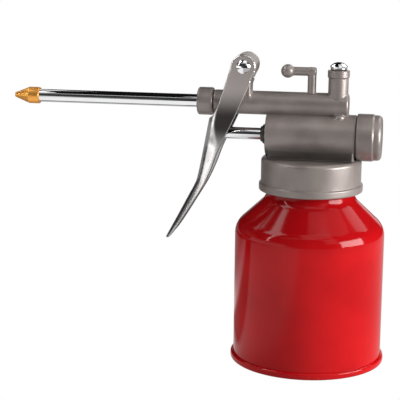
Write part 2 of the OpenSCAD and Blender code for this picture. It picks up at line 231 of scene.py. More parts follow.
class Shader:
    """A node tree under construction."""

    def __init__(self, tree):
        self.tree = tree
        tree.nodes.clear()

    def node(self, kind, settings=None, inputs=None, output=0):
        made = self.tree.nodes.new(kind)
        for name, setting in (settings or {}).items():
            setattr(made, name, setting)
        for name, value in (inputs or {}).items():
            if isinstance(value, Value):
                self.tree.links.new(value.socket, made.inputs[name])
            elif isinstance(value, tuple) and len(value) == 3 and made.inputs[name].type == "RGBA":
                made.inputs[name].default_value = (*value, 1)
            else:
                made.inputs[name].default_value = value
        return Value(self, made.outputs[output]) if made.outputs else None

    def mixed(self, factor, a, b):
        """Colour a, or colour b where the factor is 1."""
        return self.node("ShaderNodeMix", {"data_type": "RGBA"}, {0: factor, 6: a, 7: b}, 2)

    def place(self, scale=(1, 1, 1)):
        """The point's place in the row frame, in millimetres, scaled."""
        here = self.node("ShaderNodeTexCoord").output("Object")
        factor = tuple(1000.0 * s for s in scale)
        return self.node("ShaderNodeVectorMath", {"operation": "MULTIPLY"}, {0: here, 1: factor})

    def noise(self, size, detail=3.0, rough=0.5, scale=(1, 1, 1)):
        """Noise from 0 to 1 with features of about size millimetres."""
        inputs = {"Vector": self.place(scale), "Scale": 1 / size, "Detail": detail,
                  "Roughness": rough}
        return self.node("ShaderNodeTexNoise", {}, inputs)

    def axis(self, index):
        split = self.node("ShaderNodeSeparateXYZ", {}, {0: self.place()})
        return split.output("XYZ"[index])

    def bump(self, height, depth, strength=1.0, base=None):
        """A normal from a height in shares of depth millimetres."""
        inputs = {"Height": height, "Strength": strength, "Distance": depth * MM}
        if base is not None:
            inputs["Normal"] = base
        return self.node("ShaderNodeBump", {}, inputs)

    def surface(self, **sockets):
        """The finished surface: names have _ for spaces."""
        inputs = {name.replace("_", " "): value for name, value in sockets.items()}
        made = self.node("ShaderNodeBsdfPrincipled", {}, inputs)
        self.node("ShaderNodeOutputMaterial", {}, {"Surface": made})


def new_shader(name):
    material = bpy.data.materials.new(name)
    material.use_nodes = True
    return material, Shader(material.node_tree)


def red_enamel():
    """Gloss enamel on tinplate, with a little orange peel and hairline rubs."""
    material, s = new_shader("red_enamel")
    cloud = s.noise(26, 3)
    colour = s.mixed(cloud.band(0.3, 0.7), (0.40, 0.004, 0.006), (0.48, 0.006, 0.008))
    rubs = s.noise(1.1, 4, 0.7, (1, 1, 0.12)).band(0.66, 0.80)
    specks = s.noise(0.55, 2).band(0.74, 0.80)
    # Painted shade: the enamel is darker from about 56 mm up, over the shoulder and neck.
    colour = s.mixed(s.axis(2).band(56, 66) * 0.28, colour, (0.10, 0.0, 0.001))
    low = 1 - s.axis(2).band(1.0, 5.0)
    worn = (specks * low * 0.8 + rubs * 0.10).clamped()
    colour = s.mixed(worn, colour, (0.62, 0.30, 0.27))
    peel = s.bump(s.noise(1.3, 2), 0.012, 0.5)
    s.surface(
        Base_Color=colour, Roughness=0.07 + 0.06 * cloud + 0.25 * worn, IOR=1.28,
        Normal=peel,
    )
    return material


def grey_casting():
    """Satin warm-grey paint over a die casting."""
    material, s = new_shader("grey_casting")
    cloud = s.noise(9, 4)
    colour = s.mixed(cloud.band(0.25, 0.75), (0.225, 0.190, 0.175), (0.290, 0.250, 0.232))
    grain = s.noise(0.35, 3)
    colour = s.mixed(grain.band(0.62, 0.80) * 0.35, colour, (0.44, 0.41, 0.39))
    x, y, z = s.axis(0), s.axis(1), s.axis(2)
    # Painted shade: the collar's top and the pedestal's foot under the pump cylinder are darkened,
    # as the shadow that falls there.
    crevice = z.band(93.9, 94.15) * (1 - z.band(97.0, 101.0)) * (1 - x.band(18.6, 19.6))
    painted_crevice_shade = crevice * (1 - y.math("ABSOLUTE").band(9, 17)) * (0.75 + 0.25 * cloud)
    colour = s.mixed(painted_crevice_shade, colour, (0.030, 0.025, 0.022))
    skin = s.bump(grain, 0.035, 0.45)
    skin = s.bump(s.noise(2.4, 2), 0.05, 0.5, skin)
    s.surface(
        Base_Color=colour, Metallic=0.35, Roughness=0.30 + 0.14 * cloud, Normal=skin,
        Coat_Weight=0.15, Coat_Roughness=0.2,
    )
    return material


def chrome_plate():
    """Bright chrome with faint polishing lines along the piece."""
    material, s = new_shader("chrome_plate")
    film = s.noise(7, 3)
    lines = s.noise(0.5, 3, 0.6, (0.04, 1, 1))
    colour = s.mixed(film, (0.80, 0.80, 0.81), (0.88, 0.88, 0.89))
    s.surface(
        Base_Color=colour, Metallic=1.0,
        Roughness=0.02 + 0.03 * film + 0.04 * lines.band(0.55, 0.8),
        Normal=s.bump(film, 0.01, 0.2),
    )
    return material


def satin_chrome():
    """Chrome over pressed steel, a little soft from the press and from use; its flanks, inner side
    and finger part have painted dark reflections.
    """
    material, s = new_shader("satin_chrome")
    film = s.noise(11, 4)
    lines = s.noise(0.6, 2, 0.5, (1, 1, 0.05))
    worn = s.noise(9, 2, 0.5).band(0.45, 0.80) * (1 - s.axis(2).band(60, 92))
    facing = s.node("ShaderNodeTexCoord").output("Normal")
    facing = s.node("ShaderNodeSeparateXYZ", {}, {0: facing})
    # Painted reflection: the flanks are darkened in the colour, darkest low down and lighter
    # towards the top, standing for dark surroundings mirrored in the chrome; the same mask also
    # makes them rougher.
    narrow = 0.10 * (1 - s.axis(2).band(97, 112))
    satin_flank_and_painted_reflection = (facing.output("Y").math("ABSOLUTE") - narrow).band(0.84, 0.98)
    satin_flank_and_painted_reflection = satin_flank_and_painted_reflection * s.axis(2).band(94, 100)
    # Painted reflection: the inner side that faces back is darkened below about 100 mm.
    inner = facing.output("X").band(0.2, 0.6) * (1 - s.axis(2).band(98, 106))
    colour = s.mixed(film, (0.80, 0.78, 0.77), (0.88, 0.86, 0.85))
    high = s.axis(2).band(112, 126)
    # Painted reflection: the finger part below about 84 mm is darkened to a dark grey.
    finger_painted_reflection = 1 - s.axis(2).band(62, 84)
    colour = s.mixed(finger_painted_reflection * 0.70, colour, (0.20, 0.20, 0.205))
    colour = s.mixed(satin_flank_and_painted_reflection, colour, s.mixed(high, (0.075, 0.067, 0.064), (0.78, 0.70, 0.67)))
    colour = s.mixed(inner, colour, (0.15, 0.14, 0.135))
    colour = s.mixed(worn * 0.4, colour, (0.48, 0.44, 0.41))
    s.surface(
        Base_Color=colour, Metallic=1.0,
        Roughness=0.15 + 0.08 * film + 0.10 * worn + 0.06 * lines + 0.12 * satin_flank_and_painted_reflection,
        Normal=s.bump(s.noise(7, 2), 0.05, 0.3),
    )
    return material


def turned_brass():
    """Brass with the lathe tool's rings and a slight brown tarnish."""
    material, s = new_shader("turned_brass")
    stain = s.noise(5, 4)
    rings = s.noise(0.6, 2, 0.5, (1, 0.02, 0.02))
    colour = s.mixed(stain.band(0.35, 0.75), (0.90, 0.41, 0.080), (0.80, 0.33, 0.055))
    s.surface(
        Base_Color=colour, Metallic=0.75, Roughness=0.27 + 0.16 * stain,
        Normal=s.bump(rings, 0.006, 0.12),
    )
    return material


def plain_steel():
    """Bright turned steel with a film of oil."""
    material, s = new_shader("plain_steel")
    stain = s.noise(6, 4)
    rings = s.noise(0.3, 2, 0.5, (1, 1, 0.3))
    colour = s.mixed(stain, (0.42, 0.42, 0.42), (0.58, 0.57, 0.56))
    s.surface(
        Base_Color=colour, Metallic=1.0, Roughness=0.22 + 0.18 * stain,
        Normal=s.bump(rings, 0.02, 0.5),
    )
    return material


def spring_steel():
    """Drawn wire, blued a little by its heat treatment."""
    material, s = new_shader("spring_steel")
    stain = s.noise(3, 4)
    colour = s.mixed(stain, (0.30, 0.30, 0.33), (0.48, 0.46, 0.45))
    s.surface(
        Base_Color=colour, Metallic=1.0, Roughness=0.26 + 0.16 * stain,
        Normal=s.bump(s.noise(0.25, 2), 0.01, 0.4),
    )
    return material


def black_rubber():
    """Moulded oil-resistant rubber."""
    material, s = new_shader("black_rubber")
    dust = s.noise(2.2, 4)
    colour = s.mixed(dust.band(0.5, 0.8), (0.012, 0.012, 0.013), (0.045, 0.043, 0.042))
    s.surface(
        Base_Color=colour, Roughness=0.42 + 0.25 * dust,
        Normal=s.bump(s.noise(0.3, 3), 0.03, 0.5),
    )
    return material


def dark_nylon():
    """The gland's dark moulded nylon."""
    material, s = new_shader("dark_nylon")
    film = s.noise(3, 3)
    colour = s.mixed(film, (0.022, 0.020, 0.019), (0.050, 0.046, 0.043))
    s.surface(
        Base_Color=colour, Roughness=0.28 + 0.18 * film,
        Normal=s.bump(s.noise(0.4, 3), 0.02, 0.4),
    )
    return material


def clear_nylon():
    """Natural nylon tube, slightly yellowed by oil towards its foot."""
    material, s = new_shader("clear_nylon")
    film = s.noise(8, 3)
    oiled = 1 - s.axis(2).band(10, 62)
    colour = s.mixed(oiled * (0.5 + 0.5 * film), (0.74, 0.72, 0.65), (0.66, 0.55, 0.33))
    s.surface(
        Base_Color=colour, Roughness=0.30 + 0.12 * film, Subsurface_Weight=0.25,
        Subsurface_Radius=(0.004, 0.003, 0.002), Subsurface_Scale=0.5,
        Normal=s.bump(s.noise(1.5, 2), 0.02, 0.4),
    )
    return material


MATERIALS = {
    make.__name__: make()
    for make in (red_enamel, grey_casting, chrome_plate, satin_chrome, turned_brass,
                 plain_steel, spring_steel, black_rubber, dark_nylon, clear_nylon)
}


# ---- Mesh building ----

def finished(name, verts, faces, material, node, crease=38):
    """A piece from vertices in millimetres: smooth, riding on its node's body."""
    mesh = bpy.data.meshes.new(name)
    mesh.from_pydata((np.asarray(verts, float) * MM).tolist(), [], faces)
    mesh.update()
    mesh.shade_smooth()
    mesh.set_sharp_from_angle(angle=math.radians(crease))
    mesh.materials.append(MATERIALS[material])
    piece = bpy.data.objects.new(name, mesh)
    bpy.context.scene.collection.objects.link(piece)
    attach(piece, BODY_OF[node])
    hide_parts(node)
    return piece


def profile(corners, steps=6):
    """Outline through (radius, place) corners; a third number rounds a corner."""
    points = []
    for i, corner in enumerate(corners):
        here = np.array(corner[:2], float)
        if len(corner) == 2:
            points.append(tuple(here))
            continue
        before = np.array(corners[i - 1][:2], float) - here
        after = np.array(corners[(i + 1) % len(corners)][:2], float) - here
        before /= np.linalg.norm(before)
        after /= np.linalg.norm(after)
        half = math.acos(max(-1.0, min(1.0, float(before @ after)))) / 2
        middle = (before + after) / np.linalg.norm(before + after)
        centre = here + middle * corner[2] / math.sin(half)
        first = here + before * corner[2] / math.tan(half) - centre
        last = here + after * corner[2] / math.tan(half) - centre
        for k in range(steps + 1):
            t = k / steps
            turn = math.pi - 2 * half
            spoke = (math.sin((1 - t) * turn) * first + math.sin(t * turn) * last) / math.sin(turn)
            points.append(tuple(centre + spoke))
    return points


def arc(cu, cv, r, start, end, steps=10):
    """Points on an arc about (cu, cv), angles in degrees."""
    angles = np.radians(np.linspace(start, end, steps + 1))
    return [(cu + r * math.cos(a), cv + r * math.sin(a)) for a in angles]


def turned_mesh(outline, axis="z", centre=(0, 0), steps=96, wave=None):
    """Vertices and faces of an outline turned about an axis.

    outline is (radius, place along the axis), closed on itself, outside first.
    centre is the axis's place in the other two axes, in XYZ order. wave gives a
    change of radius from (angle, radius, place), for a screw thread.
    """
    verts, rings = [], []
    for r, t in outline:
        if r < 1e-6:
            rings.append([len(verts)])
            verts.append((0.0, 0.0, t))
            continue
        rings.append(list(range(len(verts), len(verts) + steps)))
        for k in range(steps):
            a = 2 * math.pi * k / steps
            q = r + (wave(a, r, t) if wave else 0.0)
            verts.append((q * math.cos(a), q * math.sin(a), t))
    faces = []
    for lower, upper in zip(rings, rings[1:] + rings[:1]):
        if len(lower) == 1 and len(upper) == 1:
            continue
        for k in range(steps):
            n = (k + 1) % steps
            if len(lower) == 1:
                faces.append((lower[0], upper[n], upper[k]))
            elif len(upper) == 1:
                faces.append((lower[k], lower[n], upper[0]))
            else:
                faces.append((lower[k], lower[n], upper[n], upper[k]))
    v = np.array(verts)
    if axis == "x":
        v = np.column_stack([v[:, 2], v[:, 0] + centre[0], v[:, 1] + centre[1]])
    elif axis == "y":
        v = np.column_stack([v[:, 1] + centre[0], v[:, 2], v[:, 0] + centre[1]])
    else:
        v = np.column_stack([v[:, 0] + centre[0], v[:, 1] + centre[1], v[:, 2]])
    return v, outward(v, faces)


def outward(verts, faces):
    """The faces, turned over if they enclose a negative volume."""
    v = np.asarray(verts, float)
    total = 0.0
    for face in faces:
        for k in range(1, len(face) - 1):
            total += float(np.dot(v[face[0]], np.cross(v[face[k]], v[face[k + 1]])))
    return faces if total > 0 else [tuple(reversed(f)) for f in faces]


def turned(node, material, outline, axis="z", centre=(0, 0), steps=96, wave=None):
    """A lathe-turned piece; the arguments are those of turned_mesh."""
    verts, faces = turned_mesh(outline, axis, centre, steps, wave)
    return finished(node + "_turned", verts, faces, material, node)


def swept(node, material, path, radius, sides=14):
    """A round wire along a path of points."""
    path = np.asarray(path, float)
    tangent = np.gradient(path, axis=0)
    tangent /= np.linalg.norm(tangent, axis=1)[:, None]
    side = np.cross(tangent[0], (0.3, 0.4, 0.87))
    verts, faces = [], []
    for point, t in zip(path, tangent):
        side = side - t * (side @ t)
        side /= np.linalg.norm(side)
        other = np.cross(t, side)
        for k in range(sides):
            a = 2 * math.pi * k / sides
            verts.append(point + radius * (math.cos(a) * side + math.sin(a) * other))
    for i in range(len(path) - 1):
        for k in range(sides):
            n = (k + 1) % sides
            faces.append((i * sides + k, i * sides + n, (i + 1) * sides + n, (i + 1) * sides + k))
    faces.append(tuple(reversed(range(sides))))
    faces.append(tuple(range((len(path) - 1) * sides, len(path) * sides)))
    return finished(node + "_wire", verts, outward(verts, faces), material, node)


def coil(radius, wire, start, end, turns, per_turn=40):
    """Centre line of a compression spring whose end turns lie close, from 0."""
    count = int(turns * per_turn)
    s = np.linspace(0, 1, count + 1) * turns
    ends = np.minimum(s, turns - s)
    rate = 0.22 + 0.78 * np.clip((ends - 0.75) / 0.5, 0, 1)
    rise = np.concatenate([[0], np.cumsum((rate[1:] + rate[:-1]) / 2)])
    place = start + wire + (end - start - 2 * wire) * rise / rise[-1]
    angle = 2 * math.pi * s
    return radius * np.cos(angle), radius * np.sin(angle), place


# ---- Moulded shapes, from fields that are negative inside ----

def rod_field(p, axis, start, end, centre, radius, edge=0.2):
    """A rod along an axis, with its end edges rounded."""
    x, y, z = p
    along = {"x": x, "y": y, "z": z}[axis]
    u, v = {"x": (y, z), "y": (x, z), "z": (x, y)}[axis]
    out = np.sqrt((u - centre[0]) ** 2 + (v - centre[1]) ** 2) - radius + edge
    off = np.abs(along - (start + end) / 2) - (end - start) / 2 + edge
    return np.minimum(np.maximum(out, off), 0) + np.hypot(
        np.maximum(out, 0), np.maximum(off, 0)) - edge


def box_field(p, low, high, edge):
    """A box with all its edges rounded."""
    inside, outside = -1e9, 0.0
    for axis in range(3):
        half = (high[axis] - low[axis]) / 2 - edge
        q = np.abs(p[axis] - (high[axis] + low[axis]) / 2) - half
        inside = np.maximum(inside, q)
        outside = outside + np.maximum(q, 0) ** 2
    return np.minimum(inside, 0) + np.sqrt(outside) - edge


def joined(a, b, fillet):
    """Both shapes, with a fillet where they meet."""
    near = np.maximum(fillet - np.abs(a - b), 0)
    return np.minimum(a, b) - near * near / (4 * fillet)


def cut(a, b, round_over=0.25):
    """The first shape without the second, its new edges rounded over."""
    return -joined(-a, b, round_over)


def common(a, b, round_over):
    """Where both shapes are, with the new edges rounded over."""
    return -joined(-a, -b, round_over)


def net(field, low, high, step):
    """Surface of a field as a net of quads, each vertex moved on to it."""
    axes = [np.arange(low[a], high[a] + step, step) for a in range(3)]
    x, y, z = axes[0][:, None, None], axes[1][None, :, None], axes[2][None, None, :]
    shape = tuple(len(a) for a in axes)
    f = np.ascontiguousarray(np.broadcast_to(field((x, y, z)), shape))
    inside = f < 0
    corner = [(i, j, k) for i in (0, 1) for j in (0, 1) for k in (0, 1)]
    cells = tuple(n - 1 for n in shape)

    def shifted(a, offset):
        return a[tuple(slice(o, o + n) for o, n in zip(offset, cells))]

    count = sum(shifted(inside, c).astype(np.int8) for c in corner)
    where = np.argwhere((count > 0) & (count < 8))
    index = np.full(cells, -1, np.int64)
    index[tuple(where.T)] = np.arange(len(where))
    total, weight = np.zeros((len(where), 3)), np.zeros(len(where))
    for a in corner:
        for axis in range(3):
            if a[axis]:
                continue
            b = tuple(c + (k == axis) for k, c in enumerate(a))
            fa = f[tuple((where + a).T)]
            fb = f[tuple((where + b).T)]
            hit = (fa < 0) != (fb < 0)
            t = np.where(hit, fa / np.where(hit, fa - fb, 1), 0)
            at = np.array(a, float) + np.outer(t, np.eye(3)[axis])
            total += at * hit[:, None]
            weight += hit
    verts = np.array(low) + step * (where + total / weight[:, None])

    def slope_at(points):
        """The field at the points, and its slope along each axis."""
        probe = 0.01
        here = field(tuple(points.T))
        return here, np.column_stack([
            field(tuple((points + probe * np.eye(3)[a]).T)) - here for a in range(3)]) / probe

    def settled(points):
        """The points moved on to the surface, none by more than part of a step."""
        here, slope = slope_at(points)
        move = slope * (here / np.maximum((slope ** 2).sum(1), 0.05))[:, None]
        long = np.maximum(np.linalg.norm(move, axis=1) / (0.4 * step), 1)
        return points - move / long[:, None]

    faces = []
    for axis in range(3):
        u, v = (axis + 1) % 3, (axis + 2) % 3
        ahead = [slice(None)] * 3
        ahead[axis] = slice(1, None)
        behind = [slice(None)] * 3
        behind[axis] = slice(None, -1)
        crossing = np.argwhere(inside[tuple(behind)] != inside[tuple(ahead)])
        crossing = crossing[(crossing[:, u] > 0) & (crossing[:, v] > 0)
                            & (crossing[:, u] < cells[u]) & (crossing[:, v] < cells[v])]
        du, dv = np.eye(3, dtype=int)[u], np.eye(3, dtype=int)[v]
        quad = np.column_stack([
            index[tuple((crossing - a * du - b * dv).T)]
            for a, b in ((1, 1), (0, 1), (0, 0), (1, 0))])
        leaving = inside[tuple(crossing.T)]
        quad[~leaving] = quad[~leaving][:, ::-1]
        faces.append(quad)
    faces = np.concatenate(faces)
    ends = np.concatenate([faces[:, [k, (k + 1) % 4]] for k in range(4)])
    ends = np.concatenate([ends, ends[:, ::-1]])
    links = np.bincount(ends[:, 0], minlength=len(verts))[:, None]
    for _ in range(4):
        verts = settled(verts)
        around = np.column_stack([
            np.bincount(ends[:, 0], verts[ends[:, 1], a], len(verts)) for a in range(3)])
        verts = 0.5 * verts + 0.5 * around / links
    for _ in range(2):
        verts = settled(verts)
    normals = slope_at(verts)[1]
    normals /= np.linalg.norm(normals, axis=1)[:, None] + 1e-9
    return verts, faces.tolist(), normals


def moulded(node, material, field, low, high, step):
    """A piece from a field, with the field's own slope for its shading."""
    verts, faces, normals = net(field, low, high, step)
    piece = finished(node + "_moulded", verts, faces, material, node, 180)
    piece.data.normals_split_custom_set_from_vertices(normals.tolist())
    return piece


def line_through(points):
    """A smooth function through (place, value) points, without overshoot."""
    t = np.array([p[0] for p in points], float)
    y = np.array([p[1] for p in points], float)
    chord = np.diff(y) / np.diff(t)
    slope = np.concatenate([[chord[0]], (chord[1:] + chord[:-1]) / 2, [chord[-1]]])
    turn = chord[1:] * chord[:-1] <= 0
    slope[1:-1][turn] = 0
    limit = 3 * np.minimum(np.abs(np.append(chord[0], chord)), np.abs(np.append(chord, chord[-1])))
    slope = np.clip(slope, -limit, limit)

    def value(at):
        at = np.clip(at, t[0], t[-1])
        i = np.clip(np.searchsorted(t, at) - 1, 0, len(t) - 2)
        h = t[i + 1] - t[i]
        s = (at - t[i]) / h
        return ((1 + 2 * s) * (1 - s) ** 2 * y[i] + s * (1 - s) ** 2 * h * slope[i]
                + s * s * (3 - 2 * s) * y[i + 1] + s * s * (s - 1) * h * slope[i + 1])

    return value


def outline_field(x, z, points):
    """Distance to a closed outline in the XZ plane, negative inside."""
    nearest, inside = 1e9, False
    for (ax, az), (bx, bz) in zip(points, points[1:] + points[:1]):
        ex, ez = bx - ax, bz - az
        t = np.clip(((x - ax) * ex + (z - az) * ez) / (ex * ex + ez * ez), 0, 1)
        nearest = np.minimum(nearest, np.hypot(x - ax - t * ex, z - az - t * ez))
        spans = (az > z) != (bz > z)
        ahead = x < ax + ex * (z - az) / (ez if ez else 1e-9)
        inside = inside ^ (spans & ahead)
    return np.where(inside, -nearest, nearest)


# ---- Can ----

def shoulder_and_neck(inset):
    """Outline from the top of the wall to the neck's mouth, inset inwards."""
    throat_z = SHOULDER_Z + ((SHOULDER_R + THROAT_R) * (1 - math.cos(SLOPE))
                             + (CAN_R - NECK_R) * math.cos(SLOPE)) / math.sin(SLOPE)
    slope = math.degrees(SLOPE)
    return (
        arc(CAN_R - SHOULDER_R, SHOULDER_Z, SHOULDER_R - inset, 0, slope, 16)
        + arc(NECK_R + THROAT_R, throat_z, THROAT_R + inset, 180 + slope, 180, 12)
        + [(NECK_R - inset, NECK_TOP)]
    )


def can_shell():
    """Drawn can; the rings part way up the wall keep its shading straight."""
    outer = [(CAN_R, SHEET), (CAN_R, 20.0), (CAN_R, 40.0)] + shoulder_and_neck(0)
    inner = shoulder_and_neck(SHEET)
    inner.reverse()
    turned("can_shell", "red_enamel", outer + inner + [(CAN_R - SHEET, SHEET)], steps=192)


def can_base():
    """Recessed bottom panel with a pressed step, rolled into the seam."""
    out = CAN_R + SEAM_OUT
    inside = CAN_R - SHEET
    panel = [(0, BASE_Z), (20.0, BASE_Z, 0.8), (21.2, BASE_Z - 0.5, 0.8), (30.2, BASE_Z - 0.5, 0.8)]
    bead = [(32.4, BASE_Z - 0.9, 0.3), (32.5, 0.0, 0.5), (out, 0.0, 1.1), (out, SEAM_H, 0.9),
            (CAN_R + 0.05, SEAM_H, 0.15), (CAN_R + 0.05, SHEET)]
    well = [(inside - 0.02, SHEET), (inside - 0.02, SEAM_H - 0.1), (inside - 0.5, SEAM_H - 0.1),
            (inside - 0.7, BASE_Z + SHEET), (21.0, BASE_Z + SHEET - 0.5), (0, BASE_Z + SHEET)]
    turned("can_base", "red_enamel", profile(panel + bead + well), steps=192)


def neck_ring():
    """Threaded steel ring rolled on to the neck."""
    pitch, depth, foot, top = 1.9, 0.24, 81.0, NECK_TOP - 1
    heights = np.arange(foot, top + 0.01, pitch / 10)

    def thread(angle, r, z):
        if r < NECK_R + RING_T - 0.01:
            return 0.0
        ends = min(1.0, max(0.0, (z - foot - 1) / 0.8), max(0.0, (top - 0.4 - z) / 0.8))
        wave = 0.5 + 0.5 * math.cos(2 * math.pi * z / pitch - angle)
        return depth * ends * (wave ** 1.6)

    outer = [(NECK_R + RING_T, float(z)) for z in heights]
    inner = [(NECK_R + 0.01, top), (NECK_R + 0.01, foot)]
    turned("neck_ring", "plain_steel", outer + inner, steps=144, wave=thread)


def neck_gasket():
    low, high = NECK_TOP, CEILING_Z - RUN
    turned("neck_gasket", "black_rubber", profile([
        (NECK_R + RING_T, low, 0.3), (NECK_R + RING_T, high, 0.3),
        (NECK_R - 2.8, high, 0.3), (NECK_R - 2.8, low, 0.3)]))


# ---- Pump head ----

def collar_field(p):
    skirt = rod_field(p, "z", RIM_Z[0] + 0.3, COLLAR_TOP, (0, 0), COLLAR_R, 1.8)
    rim = rod_field(p, "z", RIM_Z[0], RIM_Z[1], (0, 0), RIM_R, 0.7)
    return joined(skirt, rim, 0.25)


def pivot_boss_field(p):
    x, z = PIVOT
    boss = rod_field(p, "y", -BOSS_HALF, BOSS_HALF, (x, z), BOSS_R, 0.5)
    post = box_field(p, (x - 2.95, -4.8, BARREL_Z), (x + 2.95, 4.8, z), 0.9)
    return joined(boss, post, 1.6)


def pump_head_field(p):
    cap_relief = rod_field(p, "x", PUMP_X[1] + 0.05, 26, (0, PUMP_Z), CAP_R + 0.15, 0.1)
    body = cut(collar_field(p), cap_relief, 0.15)
    pedestal = box_field(p, (-19.4, -8.6, COLLAR_TOP - 4), (19.4, 8.6, PUMP_Z - 2), 1.2)
    cylinder = rod_field(p, "x", PUMP_X[0], PUMP_X[1], (0, PUMP_Z), PUMP_R, 0.7)
    body = joined(body, joined(pedestal, cylinder, 0.6), 0.5)
    threaded = rod_field(p, "x", 15, THREAD_END, (0, PUMP_Z), THREAD_R, 0.3)
    body = np.minimum(body, threaded)
    barrel = rod_field(p, "x", BARREL_X[0], BARREL_X[1], (0, BARREL_Z), BARREL_R, 1.2)
    spigot = rod_field(p, "x", SPIGOT_X, -40, (0, BARREL_Z), SPIGOT_R, 0.3)
    barrel = np.minimum(joined(barrel, pivot_boss_field(p), 1.0), spigot)
    pillar = rod_field(p, "z", PUMP_Z + BORE_R + 1, BARREL_Z, (TOWER_X, 0), 2.4, 0.2)
    body = joined(body, joined(barrel, pillar, 0.5), 0.25)
    tower = rod_field(p, "z", BARREL_Z, TOWER_TOP - 0.4, (TOWER_X, 0), TOWER_R, 0.3)
    ring = rod_field(p, "z", TOWER_TOP - 3.3, TOWER_TOP, (TOWER_X, 0), TOWER_RING_R, 0.45)
    casting_boss = rod_field(p, "z", PUMP_Z + 6, 114.4, (12.3, -3.3), 2.4, 1.3)
    body = joined(joined(body, casting_boss, 0.7), tower, 0.3)
    body = joined(body, ring, 0.3)
    bores = [
        ("z", RIM_Z[0] - 3, CEILING_Z, (0, 0), SOCKET_R),
        ("x", BORE_FRONT, THREAD_END + 2, (0, PUMP_Z), BORE_R),
        ("x", PUMP_X[0] - 2, SEAL_BACK, (0, PUMP_Z), GLAND_R + RUN),
        ("x", -18.5, BORE_FRONT + 2, (0, PUMP_Z), ROD_R + 0.3),
        ("x", SPIGOT_X - 2, SPOUT_X[1], (0, BARREL_Z), SPOUT_R + 0.03),
        ("x", SPOUT_X[1] - 2, TOWER_X, (0, BARREL_Z), 1.5),
        ("y", -BOSS_HALF - 2, BOSS_HALF + 2, PIVOT, PIN_R + RUN),
        ("z", PLUG_Z, TOWER_TOP + 2, (TOWER_X, 0), PLUG_R + 0.03),
        ("z", VALVE_SEAT, PLUG_Z + 2, (TOWER_X, 0), TOWER_BORE),
        ("z", PUMP_Z + BORE_R - 2, VALVE_SEAT + 2, (TOWER_X, 0), 1.0),
        ("z", CEILING_Z - 2, COLLAR_TOP, (SUCTION_X, 0), 3.05),
        ("z", COLLAR_TOP - 2, PUMP_Z - BORE_R + 2, (SUCTION_X, 0), 1.2),
        ("z", COCK_FOOT - 0.3, BARREL_Z + 9, (COCK_X, 0), COCK_R + 0.08),
    ]
    for axis, start, end, centre, radius in bores:
        body = cut(body, rod_field(p, axis, start, end, centre, radius, 0.05))
    return body


def pump_head():
    moulded("pump_head", "grey_casting", pump_head_field,
            (-51, -24.6, 78.2), (26.6, 24.6, 141.6), 0.45)


def rear_cap():
    """Screw cap at the back of the pump, with its spring spigot."""
    front = PUMP_X[1] + 0.15
    turned("rear_cap", "grey_casting", profile([
        (0, 31.4), (10.2, 31.4, 2.0), (10.2, 28.0, 0.2), (10.45, 27.6, 0.2), (CAP_R, 27.2, 0.4),
        (CAP_R, front, 0.7), (THREAD_R + RUN, front, 0.2), (THREAD_R + RUN, CAP_FLOOR, 0.3),
        (3.6, CAP_FLOOR, 0.3), (3.6, CAP_FLOOR - 2, 0.4), (0, CAP_FLOOR - 2)]),
        "x", (0, PUMP_Z), 128)


def cap_gasket():
    turned("cap_gasket", "black_rubber", profile([
        (THREAD_R - 0.2, THREAD_END, 0.3), (THREAD_R - 0.2, CAP_FLOOR, 0.3),
        (BORE_R, CAP_FLOOR, 0.3), (BORE_R, THREAD_END, 0.3)]), "x", (0, PUMP_Z))


def rod_gland():
    """Gland bush round the piston rod: a collar, a lip and a screwed shank."""
    front = PUMP_X[0] - 2.6
    turned("rod_gland", "dark_nylon", profile([
        (ROD_R + RUN, GLAND_BACK), (ROD_R + RUN, front, 0.3), (3.5, front, 0.3),
        (3.6, front + 0.9, 0.1), (4.4, front + 1.0, 0.35), (4.4, PUMP_X[0] - 0.05, 0.25),
        (GLAND_R, PUMP_X[0] - 0.05, 0.05), (GLAND_R, GLAND_BACK, 0.2)]), "x", (0, PUMP_Z))


def gland_seal():
    out, inside = GLAND_R - 0.02, ROD_R + 0.02
    turned("gland_seal", "black_rubber", profile([
        (out, GLAND_BACK, 0.2), (out, SEAL_BACK, 0.2), (inside, SEAL_BACK, 0.2),
        (inside, GLAND_BACK, 0.2)]), "x", (0, PUMP_Z))


# ---- Piston ----

def piston_rod():
    """Rod with a round nose; the ring part way along keeps its shading straight."""
    nose = arc(0, ROD_TIP + ROD_R, ROD_R, -90, 0, 10)
    nose[0] = (0, ROD_TIP)
    end = NUT_END - 0.4
    turned("piston_rod", "chrome_plate", nose + profile([
        (ROD_R, -34.0), (ROD_R, PISTON_X[0], 0.2), (ROD_END_R, PISTON_X[0]),
        (ROD_END_R, end, 0.3), (0, end)]), "x", (0, PUMP_Z))


def piston():
    """Brass piston with an oil groove."""
    front, back = PISTON_X
    turned("piston", "turned_brass", profile([
        (ROD_END_BORE, front), (BORE_R - RUN, front, 0.4), (BORE_R - RUN, front + 2.0, 0.1),
        (BORE_R - 0.7, front + 2.1, 0.2), (BORE_R - 0.7, front + 2.9, 0.2),
        (BORE_R - RUN, front + 3.0, 0.1), (BORE_R - RUN, back, 0.3),
        (ROD_END_BORE, back)]),
        "x", (0, PUMP_Z))


def piston_cup():
    """Cup seal with a thin lip that spreads against the bore."""
    web = PISTON_X[1] + 1.2
    turned("piston_cup", "black_rubber", profile([
        (ROD_END_BORE, PISTON_X[1]), (BORE_R - 0.25, PISTON_X[1], 0.6),
        (BORE_R - 0.03, CUP_END, 0.15), (BORE_R - 0.85, CUP_END, 0.1), (BORE_R - 1.6, web, 0.5),
        (ROD_END_BORE, web)]),
        "x", (0, PUMP_Z))


